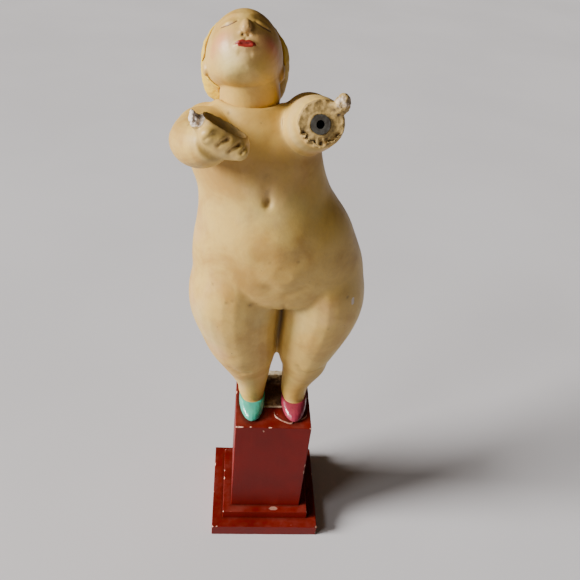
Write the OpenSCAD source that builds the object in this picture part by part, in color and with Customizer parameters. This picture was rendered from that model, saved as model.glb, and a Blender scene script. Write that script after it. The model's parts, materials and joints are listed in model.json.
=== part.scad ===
// Painted statuette on a stepped plinth: a full, smooth figure with arms held forward
// and the head thrown back, pegged together and fixed to the block with rods.
// Frame: +Z up, front of the figure towards -Y, origin at the centre of the base's underside.

/* [Plinth] */
// Width of the tall block
block_w = 55; // [50:0.5:60]
// Depth of the tall block
block_d = 49.4; // [46:0.2:56]
// Height of the tall block
block_h = 94.5; // [70:0.5:130]
// How far the middle slab stands out around the block
middle_margin = 6.3; // [4:0.1:10]
// Thickness of the middle slab
middle_t = 8; // [5:0.5:14]
// How far the base slab stands out around the block
base_margin = 14.5; // [11:0.5:24]
// Thickness of the base slab
base_t = 10.8; // [7:0.2:18]

/* [Fixings] */
// Diameter of the rods in the legs
rod_d = 4; // [3:0.5:5]
// Length of the rods in the legs
rod_l = 100; // [80:1:110]
// Diameter of the dowels in the neck and shoulders
dowel_d = 6; // [4:0.5:8]
// Length of the dowels in the neck and shoulders
dowel_l = 20; // [14:1:24]
// Diameter of the plinth screws' shank
screw_d = 4; // [3:0.5:5]
// Length of the plinth screws
screw_l = 45; // [30:1:60]
// Distance between the plinth screws, across and back
screw_pitch = 30; // [20:1:34]

/* [Figure] */
// Number of points round a torso section
torso_points = 36; // [24:4:44]
// Number of points round a limb section
limb_points = 24; // [20:4:32]
// Tilt of the head backwards, in degrees
head_tilt = 65; // [55:1:70]
// Thickness of the hair over the skull
hair_t = 1.6; // [1.2:0.2:3]
// Wall of a shoe round the foot
shoe_wall = 1.2; // [0.8:0.1:1.6]
// Outer diameter of the sleeve in the broken wrist
sleeve_d = 9.4; // [7:0.2:11]
// Bore of the sleeve in the broken wrist
sleeve_bore = 4.2; // [3:0.2:6]
// Length of the sleeve in the broken wrist
sleeve_l = 18; // [12:1:24]

/* [Hidden] */
$fn = 48;
glue = 0.1;
top_z = base_t + middle_t + block_h;

// ---- sections of the figure: [x, y, height above the block, half width, front, back] ----
torso = [[-3, 2, 107, 9, 22, 18], [-3.5, 2, 110, 22, 27.5, 26], [-4.5, 2, 116, 42, 32.5, 31],
         [-5.6, 2, 125, 54, 35, 33], [-7, 1, 137, 53.6, 36, 33], [-9.3, 0, 150, 50, 36, 30],
         [-11.5, 0, 165, 45.5, 33, 26], [-18, 1, 181, 39, 28.5, 23], [-23.5, 2, 195, 38.5, 26, 22],
         [-25.5, 3, 208, 37, 25, 20], [-26, 3, 217, 33, 22.5, 14], [-27, 2, 224, 26.5, 19.5, 9],
         [-28.5, 1, 229.5, 21, 15.5, 5], [-29.5, -1, 232.5, 16, 11, 2]];

right_leg = [[-16.5, 3, 10, 9.6, 10, 15], [-16.8, 2, 19, 10.4, 10.5, 12], [-18.6, 1, 30, 13.4, 13, 15],
             [-21.5, 0, 42, 17.3, 17, 19], [-25.2, 1, 57, 23.4, 23, 24], [-28.4, 2, 72, 26.4, 27.5, 28],
             [-31, 2, 87, 29, 31, 31], [-32.2, 2, 102, 30.2, 33, 33], [-32, 2, 118, 29, 33, 34],
             [-31, 1, 131, 24, 29, 28], [-28, 1, 142, 15, 19, 18]];

left_leg = [[14.6, 3, 10, 9.4, 10, 15], [14.8, 2, 19, 10, 10.5, 12], [16.6, 1, 30, 12.4, 13, 15],
            [18.8, 0, 42, 15.6, 17, 19], [18, 1, 52, 18.4, 21, 23], [20, 2, 66, 22.4, 26, 27],
            [23, 2, 84, 25.4, 31, 31], [24.8, 2, 102, 27.4, 33, 33], [24, 2, 118, 26.8, 33, 34],
            [22, 1, 131, 23, 29, 28], [19, 1, 142, 15, 19, 18]];

// centres of the buttocks, and of the rods that run up the legs; how deep the rods sit in the block
buttock_x = [-29, 17];
rod_x = [-17, 15];
rod_sunk = 50;

// a shoe from the sole up to its top line, about its own centre
shoe = [[0, 1, 0, 8.6, 20, 20.5], [0, 1, 2, 9.4, 21, 21.5], [0, 1, 5, 9.5, 17.5, 20],
        [0, 1, 7.7, 9.3, 9.5, 17.5]];
right_foot_x = -15.8;
left_foot_x = 15.2;

// arms along their path: [x, y, height above the block, half width, half height]
right_arm_path = [[-52, -5, 217.5, 14.5, 12.8], [-53, -12, 217.2, 15, 12.8], [-54.5, -22, 218, 15.3, 12.6],
                  [-53.5, -33, 220.5, 14.6, 12.4], [-50, -42, 224.5, 12.5, 11.2], [-46, -49, 229, 9.5, 9]];
left_arm_path = [[3, -5, 222, 15.5, 15.5], [3, -11, 224, 15, 15], [3.5, -20, 229, 14.5, 14.5],
                 [4, -31, 234, 13, 13], [4, -42, 238.3, 11.4, 11.4]];

// neck sections, and the head's own sections about the ears, before it is tilted back
neck = [[-29.5, 5, 214, 13, 12, 12], [-29.5, 5, 223.2, 15.8, 14.5, 14.5], [-29.5, 5, 232, 16.2, 15, 15],
        [-30, 5, 238, 16, 15.5, 16], [-31, 5, 245, 16.2, 16.5, 18], [-32, 7, 253, 15.5, 16, 17]];
skull = [[0, -11, -20.5, 4, 3.5, 3.5], [0, -9.5, -19, 9.5, 8.5, 6], [0, -5.5, -13, 15.4, 17.5, 11],
         [0, -1, -5, 19.2, 25, 20], [0, 0, 3, 20.4, 27, 24], [0, 1, 11, 19.6, 26.5, 24],
         [0, 2, 18, 16.8, 22.5, 21], [0, 3, 24, 11, 14, 14], [0, 3, 26.5, 4.5, 6, 6]];

// hair that hangs behind the neck, and the slope of the hairline from the ears to the crown
bob = [[-32.5, 18.2, 222, 13, 4, 4], [-32.5, 18.2, 225, 20, 7, 7], [-32.6, 19.2, 233, 23.2, 11, 11],
       [-32.6, 19.6, 243, 24, 14, 13], [-32.8, 22.5, 253, 22.5, 13, 12], [-33, 25, 260, 16, 12, 9],
       [-33, 25, 263, 8, 6, 5]];
hairline_slope = 29;

// middle of the head, about which it is tilted
head_at = [-33.4, 8, 246.6];

// ---- helpers ----
function spline_at(a, b, c, d, t) =
    0.5 * (2 * b + (c - a) * t + (2 * a - 5 * b + 4 * c - d) * t * t + (3 * b - a - 3 * c + d) * t * t * t);

function smooth(keys, steps) = concat(
    [for (i = [0:len(keys) - 2], s = [0:steps - 1])
        spline_at(keys[max(i - 1, 0)], keys[i], keys[i + 1], keys[min(i + 2, len(keys) - 1)], s / steps)],
    [keys[len(keys) - 1]]);

function unit(v) = v / norm(v);

// a level section, deeper or shallower in front than behind
function level_ring(s, n, grow) = [for (k = [0:n - 1]) let (c = cos(360 * k / n), d = sin(360 * k / n))
    [s[0] + (s[3] + grow) * c, s[1] + ((d < 0 ? s[4] : s[5]) + grow) * d, s[2]]];

// a head section, narrower towards the face
function face_ring(s, n, grow) = [for (p = level_ring(s, n, grow))
    let (ahead = max(0, s[1] - p[1]) / (s[4] + grow))
    [s[0] + (p[0] - s[0]) * (1 - 0.08 * ahead * ahead), p[1], p[2]]];

// a section square to its path: s = [x, y, z, half width, half height]
function square_ring(s, along, n, grow) =
    let (side = unit(cross([0, 0, 1], along)), up = cross(along, side))
    [for (k = [0:n - 1]) [s[0], s[1], s[2]] + (s[3] + grow) * cos(360 * k / n) * side
                                            + (s[4] + grow) * sin(360 * k / n) * up];

module skin(rings) {
    n = len(rings[0]);
    last = (len(rings) - 1) * n;
    sides = [for (i = [0:len(rings) - 2], k = [0:n - 1]) let (a = i * n + k, b = i * n + (k + 1) % n)
        each [[a, a + n, b], [b, a + n, b + n]]];
    polyhedron(points = [for (r = rings) each r],
               faces = concat([[for (k = [0:n - 1]) k]], sides, [[for (k = [n - 1:-1:0]) last + k]]));
}

module level_loft(keys, n, steps = 3, grow = 0) {
    skin([for (s = smooth(keys, steps)) level_ring(s, n, grow)]);
}

module path_loft(keys, n, steps = 3, grow = 0) {
    cuts = smooth(keys, steps);
    point = [for (c = cuts) [c[0], c[1], c[2]]];
    last = len(cuts) - 1;
    skin([for (i = [0:last])
        square_ring(cuts[i], unit(point[min(i + 1, last)] - point[max(i - 1, 0)]), n, grow)]);
}

module egg(place, size, grow = 0, turn = [0, 0, 0]) {
    translate(place) rotate(turn) scale(size + [grow, grow, grow]) sphere(r = 1, $fn = 20);
}

// forms that run into each other, as one smooth shell
module one_shell() {
    resize([0, 0, 0]) children();
}

// from the block's top upwards
module on_block() {
    translate([0, 0, top_z]) children();
}

// ---- forms shared by neighbouring pieces ----
module shoe_form(x, grow = 0) {
    level_loft([for (s = shoe) s + [x, 0, 0, 0, 0, 0]], limb_points, 4, grow);
}

module leg_form(foot_x, leg, grow = 0) {
    foot = [for (s = shoe) s + [foot_x, 0, s[2] == 0 ? shoe_wall : 0, -shoe_wall, -shoe_wall, -shoe_wall]];
    level_loft(concat(foot, leg), limb_points, 3, grow);
}

module right_arm_form(grow = 0) {
    path_loft(right_arm_path, limb_points, 3, grow);
    hand(grow);
}

module left_arm_form(grow = 0) {
    path_loft(left_arm_path, limb_points, 3, grow);
    egg([13, -40, 248], [4.5, 4.5, 6], grow);
}

// the cupped right hand: a hollow palm, a row of bent fingers and a thumb
palm_at = [-42.5, -48.5, 231.8];
palm_turn = [25, 36, 0];

module hand(grow) {
    difference() {
        egg(palm_at, [15, 9, 9.5], grow, palm_turn);
        if (grow == 0) egg(palm_at + [2, 1, 9], [13, 8, 7.5], 0, palm_turn);
    }
    for (i = [0:3]) egg(palm_at + [-6.5 + 5 * i, -7.4 + 0.4 * i, 3 - 2.6 * i], [4, 3.6, 4.8], grow, [20, 30, 0]);
    egg(palm_at + [-12.5, -2, 8], [3.4, 4, 5.5], grow, [0, -20, 0]);
}

module head_turn() {
    translate(head_at) rotate([-head_tilt, 0, 0]) children();
}

module skull_form(grow = 0) {
    head_turn() skin([for (s = smooth(skull, 3)) face_ring(s, torso_points, grow)]);
}

module ears(grow = 0) {
    head_turn() for (side = [-1, 1]) egg([side * 19.4, 1, -2], [2.4, 4, 6], grow);
}

module neck_form(grow = 0) {
    level_loft(neck, torso_points, 3, grow);
}

module bob_form(grow = 0) {
    level_loft(bob, torso_points, 2, grow);
}

module shoulder_form(grow = 0) {
    egg([3, 3, 221], [15.5, 13, 15.5], grow);
    egg([-51, 3, 214], [14.5, 13, 13], grow);
}

// ---- plinth ----
module step(margin, height) {
    linear_extrude(height) square([block_w + 2 * margin, block_d + 2 * margin], center = true);
}

module screw_places() {
    for (x = [-1, 1], y = [-1, 1]) translate([x * screw_pitch / 2, y * screw_pitch / 2, 0]) children();
}

module screw_bore(gap) {
    screw_places() {
        translate([0, 0, -1]) cylinder(d = screw_d + 2 * gap, h = screw_l + 1.5);
        translate([0, 0, -0.01]) cylinder(d1 = 2 * screw_d + 2 * gap, d2 = screw_d + 2 * gap, h = screw_d);
    }
}

module base_slab() {
    color("firebrick") difference() {
        step(base_margin, base_t);
        screw_bore(glue);
    }
}

module middle_slab() {
    color("firebrick") difference() {
        translate([0, 0, base_t]) step(middle_margin, middle_t);
        screw_bore(glue);
    }
}

module plinth_block() {
    color("firebrick") difference() {
        translate([0, 0, base_t + middle_t]) step(0, block_h);
        screw_bore(0);
        rod_places() cylinder(d = rod_d, h = rod_l + 1);
    }
}

module plinth_screws() {
    color("silver") screw_places() difference() {
        union() {
            translate([0, 0, 0.5]) cylinder(d1 = 2 * screw_d - 1, d2 = screw_d, h = screw_d - 0.5);
            cylinder(d = screw_d, h = screw_l);
        }
        translate([0, 0, -0.1]) linear_extrude(0.6) circle(d = 3 * screw_d);
        for (turn = [0, 90]) rotate(turn) translate([-screw_d / 2, -0.5, 0]) cube([screw_d, 1, 2]);
    }
}

// ---- rods in the legs ----
module rod_places() {
    for (x = rod_x) translate([x, 2, top_z - rod_sunk]) children();
}

module leg_rods() {
    color("dimgray") rod_places() cylinder(d = rod_d, h = rod_l);
}

// ---- figure ----
module foot_bridge() {
    color("tan") on_block() one_shell() difference() {
        union() {
            translate([-8, -5.8, 0]) cube([15, 28, 1.2]);
            translate([-12, 19, 0]) cube([23, 4.5, 10]);
        }
        shoe_form(right_foot_x, glue);
        shoe_form(left_foot_x, glue);
        leg_form(right_foot_x, right_leg, glue);
        leg_form(left_foot_x, left_leg, glue);
    }
}

module shoe_shell(foot_x, leg) {
    one_shell() difference() {
        shoe_form(foot_x);
        leg_form(foot_x, leg, 0.05);
    }
}

module right_shoe() {
    color("mediumaquamarine") on_block() difference() {
        shoe_shell(right_foot_x, right_leg);
        translate([rod_x[0], 2, -1]) cylinder(d = rod_d, h = 12);
    }
}

module left_shoe() {
    color("palevioletred") on_block() difference() {
        shoe_shell(left_foot_x, left_leg);
        translate([rod_x[1], 2, -1]) cylinder(d = rod_d, h = 12);
    }
}

module body() {
    color("wheat") difference() {
        on_block() one_shell() difference() {
            union() {
                level_loft(torso, torso_points);
                leg_form(right_foot_x, right_leg);
                leg_form(left_foot_x, left_leg);
                shoulder_form();
                for (x = buttock_x) egg([x, 19, 113], [26, 21, 25]);
            }
            right_arm_form(glue);
            left_arm_form(glue);
            skull_form(hair_t + glue);
            bob_form(glue);
            neck_form(glue);
        }
        rod_places() cylinder(d = rod_d, h = rod_l);
        dowel_bores();
    }
}

// each dowel: the middle of its length, and the way it points
dowels = [[[-52, -5, 217.5], [90, 0, 0]], [[3, -5, 222], [90, 0, 0]], [[-29.5, 3, 214], [0, 0, 0]]];

module dowel(i, gap = 0) {
    on_block() translate(dowels[i][0]) rotate(dowels[i][1])
        translate([0, 0, -dowel_l / 2 - gap]) cylinder(d = dowel_d, h = dowel_l + 2 * gap);
}

module dowel_bores() {
    for (i = [0:2]) dowel(i, 0.5);
}

module right_arm() {
    color("wheat") difference() {
        on_block() one_shell() right_arm_form();
        dowel(0, 0.5);
    }
}

// the sleeve's mouth, and how far its axis rises
sleeve_at = [3.5, -42.6, 238.2];
sleeve_rise = 20;

module sleeve_place() {
    on_block() translate(sleeve_at) rotate([90 - sleeve_rise, 0, 0]) translate([0, 0, -sleeve_l]) children();
}

module left_arm() {
    color("wheat") difference() {
        on_block() one_shell() left_arm_form();
        dowel(1, 0.5);
        sleeve_place() cylinder(d = sleeve_d, h = sleeve_l + 5);
    }
}

module right_arm_dowel() {
    color("burlywood") dowel(0);
}

module left_arm_dowel() {
    color("burlywood") dowel(1);
}

module neck_dowel() {
    color("burlywood") dowel(2);
}

module wrist_sleeve() {
    color("slategray") sleeve_place() difference() {
        cylinder(d = sleeve_d, h = sleeve_l);
        translate([0, 0, -1]) cylinder(d = sleeve_bore, h = sleeve_l + 2);
    }
}

module head() {
    color("wheat") difference() {
        on_block() one_shell() {
            skull_form();
            ears();
            neck_form();
            head_turn() egg([0, -27, -2], [2.6, 3, 4.5]);
        }
        dowel(2, 0.5);
    }
}

module hair() {
    color("khaki") on_block() one_shell() difference() {
        union() {
            skull_form(hair_t);
            head_turn() egg([0, 3, 20.5], [14, 17, 8]);
            bob_form();
        }
        skull_form(glue);
        ears(3 * glue);
        neck_form(glue);
        head_turn() translate([0, 3, -6]) rotate([hairline_slope, 0, 0]) translate([-40, -80, -60])
            cube([80, 80, 120]);
    }
}

base_slab();
middle_slab();
plinth_block();
plinth_screws();
leg_rods();
foot_bridge();
right_shoe();
left_shoe();
body();
right_arm();
right_arm_dowel();
left_arm();
left_arm_dowel();
wrist_sleeve();
head();
neck_dowel();
hair();
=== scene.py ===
import json
import math

import bpy
import numpy as np
from bpy.props import FloatProperty, FloatVectorProperty, IntProperty, PointerProperty
from mathutils import Euler, Matrix, Vector, noise

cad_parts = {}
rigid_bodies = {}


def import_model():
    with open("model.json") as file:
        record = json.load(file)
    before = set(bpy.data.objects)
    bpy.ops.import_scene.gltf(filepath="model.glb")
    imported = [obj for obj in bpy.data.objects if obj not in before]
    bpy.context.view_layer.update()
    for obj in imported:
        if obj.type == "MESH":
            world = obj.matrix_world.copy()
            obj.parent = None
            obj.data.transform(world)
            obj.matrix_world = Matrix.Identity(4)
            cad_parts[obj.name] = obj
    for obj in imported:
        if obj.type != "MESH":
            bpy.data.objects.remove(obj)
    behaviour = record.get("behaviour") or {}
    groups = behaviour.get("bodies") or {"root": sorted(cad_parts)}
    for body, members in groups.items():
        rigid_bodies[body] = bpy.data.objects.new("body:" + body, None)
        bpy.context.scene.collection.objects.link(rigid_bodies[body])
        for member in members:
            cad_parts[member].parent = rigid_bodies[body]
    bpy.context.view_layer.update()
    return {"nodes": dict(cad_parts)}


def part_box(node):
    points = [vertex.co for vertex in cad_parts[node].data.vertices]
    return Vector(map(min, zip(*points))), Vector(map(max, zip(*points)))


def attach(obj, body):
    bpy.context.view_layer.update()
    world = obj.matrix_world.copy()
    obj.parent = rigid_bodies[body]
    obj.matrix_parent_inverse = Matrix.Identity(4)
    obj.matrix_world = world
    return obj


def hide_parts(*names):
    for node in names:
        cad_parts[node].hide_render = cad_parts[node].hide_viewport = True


bl_info = {
    "name": "Painted Plaster Statuette",
    "version": (1, 0, 0),
    "blender": (4, 5, 0),
    "location": "View3D > Sidebar > Statuette",
    "description": "Builds a painted plaster figure on a stepped red plinth, with its worn paint",
    "category": "Add Mesh",
}

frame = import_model()
MM = 0.001

FRONT = (0, -1, 0)
BACK = (0, 1, 0)
UP = (0, 0, 1)
LEFT = (-1, 0, 0)
RIGHT = (1, 0, 0)
DOWN = (0, 0, -1)

# middle of the head, how many degrees it is tilted back, and middle of the right palm, in millimetres
HEAD_AT = (-33.4, 8.0, 359.9)
HEAD_TILT = 65
PALM = (-42.5, -48.5, 345.1)

# countersunk screws: shank and head radius, countersink depth and hole depth, in millimetres
SHANK_R = 2.1
HEAD_R = 3.5
SINK_R = 4.12
SINK_DEEP = 4.02
HOLE_DEEP = 48

# where the camera stands, in metres, and its turns, in degrees
CAMERA_AT = (-0.03635, -0.32863, 0.47122)
CAMERA_DOWN = 37.2208
CAMERA_TURN = 6.851
CAMERA_ROLL = 6.603
LENS = 39.72

# where the lights hang, in metres
KEY_AT = (-2.4, -0.4, 1.2)
WINDOW_AT = (-1.0, -0.7, 1.1)


# ---- settings ----

class FigureSettings(bpy.types.PropertyGroup):
    skin: FloatVectorProperty(
        name="Skin paint", description="Cream paint of the body, arms and head", subtype="COLOR",
        size=3, min=0, max=1, default=(0.69, 0.45, 0.105))
    ochre: FloatVectorProperty(
        name="Aged paint", description="The darker colour that the skin paint has aged to in patches",
        subtype="COLOR", size=3, min=0, max=1, default=(0.46, 0.24, 0.04))
    lips: FloatVectorProperty(
        name="Lips", description="Paint of the lips", subtype="COLOR", size=3, min=0, max=1,
        default=(0.38, 0.035, 0.025))
    hair: FloatVectorProperty(
        name="Hair", description="Yellow paint of the hair", subtype="COLOR", size=3, min=0, max=1,
        default=(0.84, 0.56, 0.035))
    plaster: FloatVectorProperty(
        name="Bare plaster", description="Plaster where the cast is broken", subtype="COLOR", size=3,
        min=0, max=1, default=(0.50, 0.33, 0.11))
    # Sets how dark the painted shade in the hollows, the smears and the dirt specks are.
    grime_and_shade: FloatProperty(
        name="Grime", description="How dark the hollows and specks are", subtype="FACTOR", min=0, max=1,
        default=0.6)
    body_grain: FloatProperty(
        name="Body grain", description="Size of the faces on the body", unit="LENGTH", min=0.0008,
        max=0.003, default=0.001)
    fine_grain: FloatProperty(
        name="Fine grain", description="Size of the faces on the arms, head and hair", unit="LENGTH",
        min=0.0003, max=0.002, default=0.00048)


class ShoeSettings(bpy.types.PropertyGroup):
    right: FloatVectorProperty(
        name="Right shoe", description="Enamel of the right shoe", subtype="COLOR", size=3, min=0, max=1,
        default=(0.06, 0.52, 0.36))
    left: FloatVectorProperty(
        name="Left shoe", description="Enamel of the left shoe", subtype="COLOR", size=3, min=0, max=1,
        default=(0.34, 0.035, 0.07))
    grain: FloatProperty(
        name="Grain", description="Size of the faces on the shoes", unit="LENGTH", min=0.0002, max=0.001,
        default=0.00032)


class PlinthSettings(bpy.types.PropertyGroup):
    red: FloatVectorProperty(
        name="Red paint", description="Satin paint of the plinth", subtype="COLOR", size=3, min=0, max=1,
        default=(0.165, 0.005, 0.002))
    primer: FloatVectorProperty(
        name="Primer", description="Pale coat that shows where the red is chipped", subtype="COLOR",
        size=3, min=0, max=1, default=(0.74, 0.36, 0.26))
    edge: FloatProperty(
        name="Edge", description="Radius of the worn edges", unit="LENGTH", min=0.0002, max=0.002,
        default=0.0006)
    cuts: IntProperty(
        name="Cuts", description="Cuts along each side of a block", min=20, max=120, default=76)


class StageSettings(bpy.types.PropertyGroup):
    floor: FloatVectorProperty(
        name="Floor", description="Colour of the floor", subtype="COLOR", size=3, min=0, max=1,
        default=(0.76, 0.75, 0.79))
    key_power: FloatProperty(
        name="Key light", description="Strength of the soft light from the left", min=0, max=20,
        default=7.8)
    fill: FloatProperty(
        name="Fill", description="Strength of the light from all round", min=0, max=2, default=0.05)


# ---- modelling ----

def deselect():
    for obj in bpy.context.view_layer.objects:
        obj.select_set(False)


def only(piece):
    deselect()
    piece.select_set(True)
    bpy.context.view_layer.objects.active = piece


def edit(piece, mode="VERT"):
    only(piece)
    bpy.ops.object.mode_set(mode="EDIT")
    bpy.ops.mesh.select_mode(type=mode)
    bpy.ops.mesh.select_all(action="SELECT")


def leave_edit():
    bpy.ops.object.mode_set(mode="OBJECT")


def named(name):
    piece = bpy.context.object
    piece.name = name
    piece.data.name = name
    return piece


def modify(piece, kind, **settings):
    only(piece)
    modifier = piece.modifiers.new(kind.title(), kind)
    for key, value in settings.items():
        setattr(modifier, key, value)
    bpy.ops.object.modifier_apply(modifier=modifier.name)


def copy_of(node, name):
    """A CAD node's shape as a piece of its own, with its triangles joined up."""
    piece = bpy.data.objects.new(name, frame["nodes"][node].data.copy())
    bpy.context.scene.collection.objects.link(piece)
    piece.data.materials.clear()
    edit(piece)
    bpy.ops.mesh.remove_doubles(threshold=0.000002)
    bpy.ops.mesh.normals_make_consistent(inside=False)
    leave_edit()
    return piece


def joined(pieces):
    deselect()
    for piece in pieces:
        piece.select_set(True)
    bpy.context.view_layer.objects.active = pieces[0]
    bpy.ops.object.join()
    return bpy.context.object


def twin(piece, name):
    copy = bpy.data.objects.new(name, piece.data.copy())
    bpy.context.scene.collection.objects.link(copy)
    return copy


def remesh(piece, grain, rounds, factor=0.5):
    """An even skin of square faces, smoothed."""
    modify(piece, "REMESH", mode="VOXEL", voxel_size=grain, adaptivity=0)
    if rounds:
        modify(piece, "SMOOTH", factor=factor, iterations=rounds)


def cut(piece, cutter, operation, keep_cutter=False):
    modify(piece, "BOOLEAN", operation=operation, solver="MANIFOLD", object=cutter)
    if not keep_cutter:
        bpy.data.objects.remove(cutter)


def finish(piece, material, slot, *nodes, crease=180):
    """Smooth faces up to a crease angle, one material, and its place in the frame."""
    only(piece)
    bpy.ops.object.shade_smooth_by_angle(angle=math.radians(crease))
    piece.data.materials.clear()
    piece.data.materials.append(material)
    for node in nodes:
        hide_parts(node)
    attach(piece, "root")


class Clay:
    """A mesh's points in millimetres, while they are pushed about."""

    def __init__(self, piece, turn=None, at=(0, 0, 0)):
        self.piece = piece
        self.turn = np.array(turn or Matrix.Identity(3))
        self.at = np.array(at, float)
        count = len(piece.data.vertices)
        flat = np.empty(count * 3)
        piece.data.vertices.foreach_get("co", flat)
        self.points = (flat.reshape(-1, 3) / MM - self.at) @ self.turn
        self.reach = np.ones(count)
        self.normals = self.read_normals()

    def read_normals(self):
        flat = np.empty(len(self.points) * 3)
        self.piece.data.vertex_normals.foreach_get("vector", flat)
        return flat.reshape(-1, 3) @ self.turn

    def facing(self, toward):
        return np.clip(1.6 * (self.normals @ np.array(toward, float)), 0, 1)

    def line_distance(self, line, toward):
        """How far each point is from a broken line, as seen along one direction."""
        look = np.array(toward, float)
        flat = self.points - np.outer(self.points @ look, look)
        keys = np.array(line, float)
        keys = keys - np.outer(keys @ look, look)
        best = np.full(len(flat), np.inf)
        for a, b in zip(keys[:-1], keys[1:]):
            along = b - a
            part = np.clip(((flat - a) @ along) / max(along @ along, 1e-9), 0, 1)
            best = np.minimum(best, np.linalg.norm(flat - a - part[:, None] * along, axis=1))
        return best

    def push(self, amount):
        self.points += self.normals * (amount * self.reach)[:, None]

    def line(self, line, width, height, toward):
        """A ridge along a line, or a groove where the height is below zero."""
        away = self.line_distance(line, toward)
        self.push(height * np.exp(-(away / width) ** 2) * self.facing(toward))

    def dome(self, centre, size, height, toward):
        """A soft swelling, or a hollow where the height is below zero."""
        offset = (self.points - np.array(centre, float)) / np.array(size, float)
        look = np.array(toward, float)
        offset = offset - np.outer(offset @ look, look)
        self.push(height * np.exp(-np.sum(offset ** 2, axis=1)) * self.facing(toward))

    def rough(self, scale, seed, octaves=3):
        """Noise from about -1 to 1 at each point; scale is the size of its lumps."""
        shift = Vector((seed * 7.3, seed * 3.1, seed * 5.7))
        return np.array([noise.fractal(Vector(p) / scale + shift, 0.6, 2.0, octaves)
                         for p in self.points.tolist()])

    def within(self, low, high):
        """Keeps every point inside a box."""
        world = self.points @ self.turn.T + self.at
        world = np.clip(world, np.array(low) / MM + 0.02, np.array(high) / MM - 0.02)
        self.points = (world - self.at) @ self.turn

    def done(self):
        world = (self.points @ self.turn.T + self.at) * MM
        self.piece.data.vertices.foreach_set("co", world.ravel())
        self.piece.data.update()
        self.normals = self.read_normals()


def mark(piece, name, values):
    """Stores a number at each point, for the paint to follow."""
    attribute = piece.data.attributes.new(name, "FLOAT", "POINT")
    attribute.data.foreach_set("value", np.asarray(values, dtype=np.float32))


def spread(piece, values, rounds):
    """Evens out numbers over neighbouring points."""
    edges = np.empty(len(piece.data.edges) * 2, dtype=np.int32)
    piece.data.edges.foreach_get("vertices", edges)
    a, b = edges.reshape(-1, 2).T
    count = np.maximum(np.bincount(a, minlength=len(values)) + np.bincount(b, minlength=len(values)), 1)
    for _ in range(rounds):
        total = (np.bincount(a, weights=values[b], minlength=len(values))
                 + np.bincount(b, weights=values[a], minlength=len(values)))
        values = 0.5 * values + 0.5 * total / count
    return values


def soften(clay, weight, rounds):
    """Evens out the shape itself where the weight is above zero."""
    for _ in range(rounds):
        even = np.stack([spread(clay.piece, clay.points[:, i], 1) for i in range(3)], axis=1)
        clay.points += (even - clay.points) * weight[:, None]


def between(values, low, high, soft):
    """1 inside a band of values, falling to 0 outside it."""
    return np.clip((values - low) / soft, 0, 1) * np.clip((high - values) / soft, 0, 1)


def hollows(clay, rounds, gain):
    """Where the surface is hollow, from 0 to 1, for the painted shade in the hollows."""
    even = np.stack([spread(clay.piece, clay.points[:, i], rounds) for i in range(3)], axis=1)
    depth = np.einsum("ij,ij->i", even - clay.points, clay.normals)
    return np.clip(spread(clay.piece, depth, 2) * gain, 0, 1)


# ---- paint ----

class Val:
    """A shader socket that can be used in sums."""

    def __init__(self, paint, socket):
        self.paint = paint
        self.socket = socket

    def sum(self, operation, a, b):
        return self.paint.node("ShaderNodeMath", {"operation": operation}, {0: a, 1: b})

    def __add__(self, other):
        return self.sum("ADD", self, other)

    def __radd__(self, other):
        return self.sum("ADD", other, self)

    def __sub__(self, other):
        return self.sum("SUBTRACT", self, other)

    def __rsub__(self, other):
        return self.sum("SUBTRACT", other, self)

    def __mul__(self, other):
        return self.sum("MULTIPLY", self, other)

    def __rmul__(self, other):
        return self.sum("MULTIPLY", other, self)

    def most(self, other):
        return self.sum("MAXIMUM", self, other)


class Paint:
    """One finish, as a tree of shader nodes."""

    def __init__(self, name, **constants):
        self.material = bpy.data.materials.new(name)
        self.material.use_nodes = True
        self.tree = self.material.node_tree
        self.shader = self.tree.nodes["Principled BSDF"]
        for key, value in constants.items():
            self.shader.inputs[key.replace("_", " ")].default_value = value
        self.place = self.node("ShaderNodeTexCoord", {}, {}, "Object")

    def node(self, kind, settings, values, out=0):
        node = self.tree.nodes.new(kind)
        for key, value in settings.items():
            setattr(node, key, value)
        for key, value in values.items():
            if isinstance(value, Val):
                self.tree.links.new(value.socket, node.inputs[key])
            else:
                node.inputs[key].default_value = value
        return Val(self, node.outputs[out])

    def noise(self, scale, detail=4.0, rough=0.55, vector=None, twist=0.0):
        return self.node("ShaderNodeTexNoise", {}, {
            "Vector": vector or self.place, "Scale": scale, "Detail": detail, "Roughness": rough,
            "Distortion": twist})

    def stretched(self, scale):
        return self.node("ShaderNodeMapping", {}, {"Vector": self.place, "Scale": scale})

    def cells(self, scale, out="Distance", vector=None):
        return self.node("ShaderNodeTexVoronoi", {}, {"Vector": vector or self.place, "Scale": scale}, out)

    def step(self, value, low, high, start=0.0, end=1.0):
        """A soft step of value from low to high."""
        return self.node("ShaderNodeMapRange", {"interpolation_type": "SMOOTHSTEP"},
                         {0: value, 1: low, 2: high, 3: start, 4: end})

    def mix(self, factor, a, b, blend="MIX"):
        return self.node("ShaderNodeMix", {"data_type": "RGBA", "blend_type": blend},
                         {0: factor, 6: colour(a), 7: colour(b)}, 2)

    def attribute(self, name):
        return self.node("ShaderNodeAttribute", {"attribute_name": name}, {}, "Fac")

    def specks(self, scale, size, share):
        """Small dots in a share of the cells."""
        dots = self.step(self.cells(scale), size, size * 0.5)
        some = self.step(self.node("ShaderNodeSeparateColor", {}, {0: self.cells(scale, "Color")}),
                         share, share - 0.02)
        return dots * some

    def feed(self, **sockets):
        for key, value in sockets.items():
            self.tree.links.new(value.socket, self.shader.inputs[key.replace("_", " ")])

    def bump(self, height, distance, strength=1.0):
        self.feed(Normal=self.node("ShaderNodeBump", {}, {
            "Strength": strength, "Distance": distance, "Height": height}))


def colour(value):
    if isinstance(value, Val):
        return value
    return (*value[:3], 1.0)


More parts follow.
